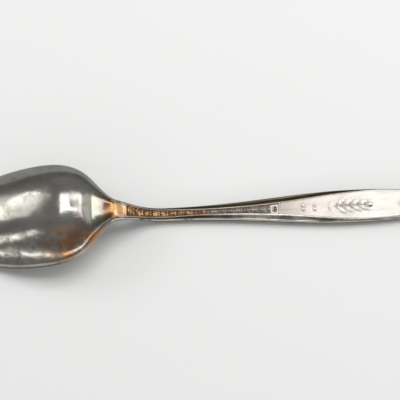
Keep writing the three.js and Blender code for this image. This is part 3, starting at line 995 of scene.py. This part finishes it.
def stem_finish():
    """Brown film that turns grey towards the blade, with a dark channel floor."""
    f = Finish("brown_tarnish")
    raised = f.mark("raised")
    patches = f.noise(300, 4, 0.6, ((0.4, 1, 1), (0, 0, 0)))
    fine = f.noise(1500, 3, 0.6)
    plating = f.blend(patches.fade(0.35, 0.65), FAWN, BROWN)
    plating = f.blend(f.along.fade(76, 96), plating, GREY_ROSE)
    plating = heel_tint(f, plating, f.noise(160, 5, 0.62, distortion=0.4))
    color = handle_edges(f, plating)
    floor = f.blend(f.along.fade(78, 92), SOOT, BROWN)
    floor = f.blend(f.along.fade(95, 99), floor, DULL_SILVER)
    color = f.blend(raised.fade(-0.1, -0.3) * f.mark("beyond").fade(-0.04, -0.1), color, floor)
    scratches = f.scratches()
    rough = 0.22 + patches * 0.14 + scratches * 0.05
    return f.finish(color, rough, f.bump(fine * 0.4 - scratches * 0.5, 0.3, 0.02))


def band_finish():
    """Coppery beads near the neck and silvery tablets after them, dark in the recesses."""
    f = Finish("coppery_ornament")
    raised = f.mark("raised")
    patches = f.noise(420, 4, 0.6)
    silvery = (f.along + patches * 4).fade(80, 84)
    low = f.blend(silvery, UMBER_FILM_AND_SHADE, DULL_GROUND)
    high = f.blend(patches.fade(0.42, 0.58), f.blend(silvery, OLD_GOLD, OLD_SILVER),
                   f.blend(silvery, OLD_COPPER, OLD_PINK))
    dull = f.noise(900, 3).fade(0.5, 0.62) * 0.6
    high = f.blend(dull, high, low)
    color = f.blend(raised.fade(0.01, 0.12), low, high)
    rough = 0.42 - raised.fade(0.05, 0.25) * 0.18 + patches * 0.1
    return f.finish(color, rough, f.bump(f.noise(1800, 3) * 0.5, 0.35, 0.02))


def bright_finish(name, film_strength):
    """Bright plate under a faint coloured film. Raised parts are polished, their feet dark."""
    f = Finish(name)
    raised = f.mark("raised")
    hues = f.noise(260, 3, 0.5, distortion=0.6)
    stops = [(0.3, STRAW), (0.45, BRIGHT), (0.55, ROSE), (0.68, SKY)]
    tint = f.node("ShaderNodeValToRGB", {"stops": stops}, {"Fac": hues})
    plate = f.blend(f.along.fade(103, 114), GREY_ROSE, BRIGHT)
    color = f.blend(film_strength * f.along.fade(101, 112), plate, tint)
    color = f.blend(f.along.fade(120, 130), color, PALE)
    outline = raised.fade(0.0, 0.02) * raised.fade(0.07, 0.03)
    color = f.blend(outline * 0.45, color, BROWN)
    color = f.blend(raised.fade(0.04, 0.09) * 0.65, color, POLISHED)
    color = handle_edges(f, color)
    scratches = f.scratches()
    fine = f.noise(1300, 3, 0.6)
    rough = 0.16 + hues * 0.12 + scratches * 0.06
    return f.finish(color, rough, f.bump(fine * 0.3 - scratches * 0.5, 0.3, 0.02))


# ------------------------------------------------------------------ assembly

def band_ground(s):
    return field_height(s) - CHANNEL_DEPTH + BAND_GROUND


silver, copper, brown, band = bowl_finish(), neck_finish(), stem_finish(), band_finish()
bright, relief = bright_finish("bright_plate", 0.35), bright_finish("iridescent_relief", 0.8)

PIECES = [
    (build_bowl(), "bowl", "silver_plate", silver),
    (build_neck(), "neck", "worn_plate", copper),
    (build_stem(), "stem", "stem_plate", brown),
    (build_blade(), "blade", "bright_plate", bright),
    (build_border("border_wire_left_fine", 1), "border_wire_left", "bright_plate", bright),
    (build_border("border_wire_right_fine", -1), "border_wire_right", "bright_plate", bright),
    (build_band(), "ornament_band", "band_plate", band),
    (build_scroll(), "scroll", "relief_plate", relief),
    (build_leaf_pair("leaf_near_stem"), "leaf_near_stem", "relief_plate", relief),
    (build_leaf_pair("leaf_next"), "leaf_next", "relief_plate", relief),
    (build_crescent(), "crescent", "relief_plate", relief),
    (build_spray(), "spray", "relief_plate", relief),
    (build_leaf("end_leaf"), "end_leaf", "relief_plate", relief),
]

LEVELS = {"bowl": rim_height, "neck": edge_height, "ornament_band": band_ground, "scroll": band_ground}

for piece, node, slot, material in PIECES:
    mark(piece, LEVELS.get(node, field_height))
    piece.data.materials.append(material)
    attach(piece, "root")
    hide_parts(node)


# ------------------------------------------------------------------ table, light and camera

TABLE_HALF = 1.5
PALE_GREY = (0.66, 0.66, 0.655, 1)
SKY_LEVEL = 0.5


def table():
    mesh = bpy.data.meshes.new("table")
    r = TABLE_HALF
    mesh.from_pydata([(-r, -r, 0), (r, -r, 0), (r, r, 0), (-r, r, 0)], [], [(0, 1, 2, 3)])
    top = bpy.data.objects.new("table", mesh)
    bpy.context.scene.collection.objects.link(top)
    paper = bpy.data.materials.new("pale_table")
    paper.use_nodes = True
    shader = paper.node_tree.nodes["Principled BSDF"]
    shader.inputs["Base Color"].default_value = PALE_GREY
    shader.inputs["Roughness"].default_value = 0.7
    mesh.materials.append(paper)


def panel(name, centre, facing, size, brightness):
    """Rectangular light panel in metres that faces a point."""
    light = bpy.data.lights.new(name, "AREA")
    light.shape = "RECTANGLE"
    light.size, light.size_y = size
    light.energy = 4 * size[0] * size[1] * brightness
    lamp = bpy.data.objects.new(name, light)
    lamp.location = centre
    lamp.rotation_euler = (Vector(centre) - Vector(facing)).to_track_quat("Z", "Y").to_euler()
    bpy.context.scene.collection.objects.link(lamp)


def overhead(height, outer, gap, brightness):
    """Softbox over the table with a square gap in it, from four flat panels."""
    (x0, x1), (y0, y1) = outer
    (u0, u1), (v0, v1) = gap
    bars = {"left": ((x0, u0), (y0, y1)), "right": ((u1, x1), (y0, y1)),
            "near": ((u0, u1), (y0, v0)), "far": ((u0, u1), (v1, y1))}
    for name, ((a, b), (c, d)) in bars.items():
        centre = ((a + b) / 2, (c + d) / 2, height)
        panel("overhead_" + name, centre, (*centre[:2], 0), (b - a, d - c), brightness)


def sky():
    """Pale studio around the table, darker low down at the back and on the near side."""
    world = bpy.data.worlds.new("studio")
    world.use_nodes = True
    n = Nodes(world.node_tree)
    x, y, z = n.axes(n.node("ShaderNodeTexCoord", out="Generated"))
    back = y.fade(0.1, 0.4) * z.fade(0.36, 0.16)
    near_side = y.fade(0.1, -0.25) * z.fade(0.98, 0.8)
    opening = (z - 0.37).size().fade(0.032, 0.016) * y.fade(-0.25, -0.45)
    glow = SKY_LEVEL * (1 - 0.3 * back - 0.42 * near_side) + 4.0 * opening
    background = world.node_tree.nodes["Background"]
    background.inputs["Color"].default_value = (1.0, 1.0, 1.0, 1)
    n.feed(background.inputs["Strength"], glow)
    bpy.context.scene.world = world


table()
overhead(1.0, ((-0.27, 0.78), (0.14, 0.76)), ((0.16, 0.46), (0.30, 0.52)), 4.2)
panel("left_panel", (-0.735, 0.42, 0.50), (0, 0, 0), (0.50, 0.19), 4.2)
panel("left_high_panel", (-0.66, 0.38, 0.65), (0, 0, 0), (0.46, 0.12), 1.6)
panel("left_low_panel", (-0.70, -0.22, 0.58), (0, 0, 0), (0.12, 0.22), 2.2)
panel("right_panel", (0.70, 0.05, 0.24), (0, 0, 0), (0.7, 0.22), 2.2)
panel("right_high_panel", (0.60, 0.20, 0.50), (0, 0, 0), (0.5, 0.26), 1.0)
sky()

VIEW_AZIMUTH = math.radians(-2.79)
VIEW_ELEVATION = math.radians(74.0)
VIEW_DISTANCE = 0.6
VIEW_WIDTH = 0.120
AIM = Vector((2.5 * MM, 3.9 * MM, 2.7 * MM))


def camera():
    data = bpy.data.cameras.new("camera")
    data.sensor_width = 36
    data.lens = 36 * VIEW_DISTANCE / VIEW_WIDTH
    eye = bpy.data.objects.new("camera", data)
    back = Vector((math.sin(VIEW_AZIMUTH) * math.cos(VIEW_ELEVATION),
                   -math.cos(VIEW_AZIMUTH) * math.cos(VIEW_ELEVATION), math.sin(VIEW_ELEVATION)))
    eye.location = AIM + back * VIEW_DISTANCE
    eye.rotation_euler = back.to_track_quat("Z", "Y").to_euler()
    bpy.context.scene.collection.objects.link(eye)
    bpy.context.scene.camera = eye


camera()
bpy.context.scene.view_settings.view_transform = "Standard"
